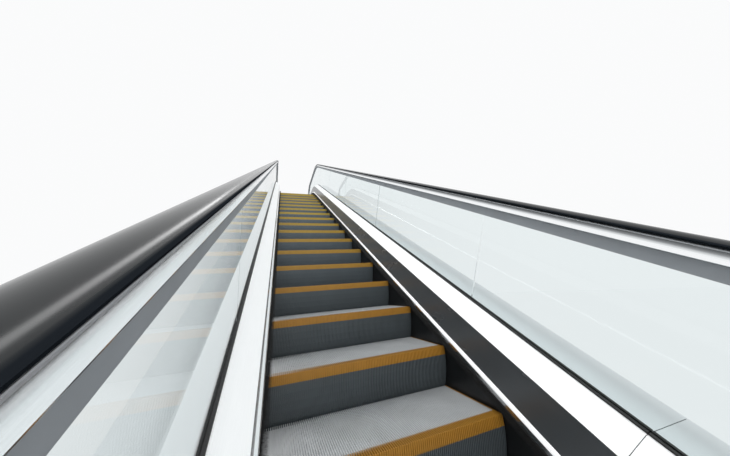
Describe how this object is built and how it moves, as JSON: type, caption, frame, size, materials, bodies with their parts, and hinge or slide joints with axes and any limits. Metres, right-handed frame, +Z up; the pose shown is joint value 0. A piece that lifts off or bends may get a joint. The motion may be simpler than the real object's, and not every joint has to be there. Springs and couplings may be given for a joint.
{
  "type": "escalator",
  "caption": "Escalator with glass balustrades, yellow-edged cleated steps and steel decks, complete from bearing to bearing with its truss.",
  "frame": {"origin": "centre of the underside of the lower bearing angle's horizontal leg, where it rests on the building", "axes": "+Y along the flight towards the upper landing, +Z up, +X to the right of a rider going up"},
  "size_m": [1.702, 13.7003, 7.1619],
  "materials": {
    "truss_paint": "satin paint on steel",
    "galvanised_sheet": "galvanised sheet",
    "side_panel": "light satin paint",
    "stainless": "brushed",
    "polished_strip": "polished",
    "comb_yellow": "satin",
    "step_aluminium": "die cast, worn cleats",
    "edging_yellow": "satin",
    "chain_steel": "oiled",
    "skirt_black": "low friction black coating",
    "brush_black": "bristles",
    "panel_grey": "satin",
    "gasket_black": "matte",
    "glass": "clear, tempered",
    "guide_aluminium": "anodised",
    "handrail_rubber": "moulded, satin"
  },
  "bodies": {
    "root": {"lower_truss_left": "truss_paint", "lower_truss_right": "truss_paint", "incline_truss_left": "truss_paint", "incline_truss_right": "truss_paint", "upper_truss_left": "truss_paint", "upper_truss_right": "truss_paint", "cross_frames": "truss_paint", "bottom_pan": "galvanised_sheet", "lower_bearing": "truss_paint", "upper_bearing": "truss_paint", "side_cladding_left": "side_panel", "side_cladding_right": "side_panel", "lower_floor_plate": "stainless", "upper_floor_plate": "stainless", "comb_plates": "stainless", "combs": "comb_yellow", "steps": "step_aluminium", "step_edging": "edging_yellow", "step_chains": "chain_steel", "step_tracks": "truss_paint", "chain_wheels": "chain_steel", "skirt_left": "skirt_black", "skirt_right": "skirt_black", "skirt_strip_left": "polished_strip", "skirt_strip_right": "polished_strip", "skirt_brush_left": "brush_black", "skirt_brush_right": "brush_black", "inner_panel_left": "panel_grey", "inner_panel_right": "panel_grey", "inner_deck_left": "stainless", "inner_deck_right": "stainless", "outer_deck_left": "stainless", "outer_deck_right": "stainless", "glass_clamp_left": "gasket_black", "glass_clamp_right": "gasket_black", "balustrade_brackets": "truss_paint", "glass_left": "glass", "glass_right": "glass", "handrail_guide_left": "guide_aluminium", "handrail_guide_right": "guide_aluminium", "handrail_left": "handrail_rubber", "handrail_right": "handrail_rubber", "handrail_inlets": "gasket_black"}
  },
  "joints": []
}
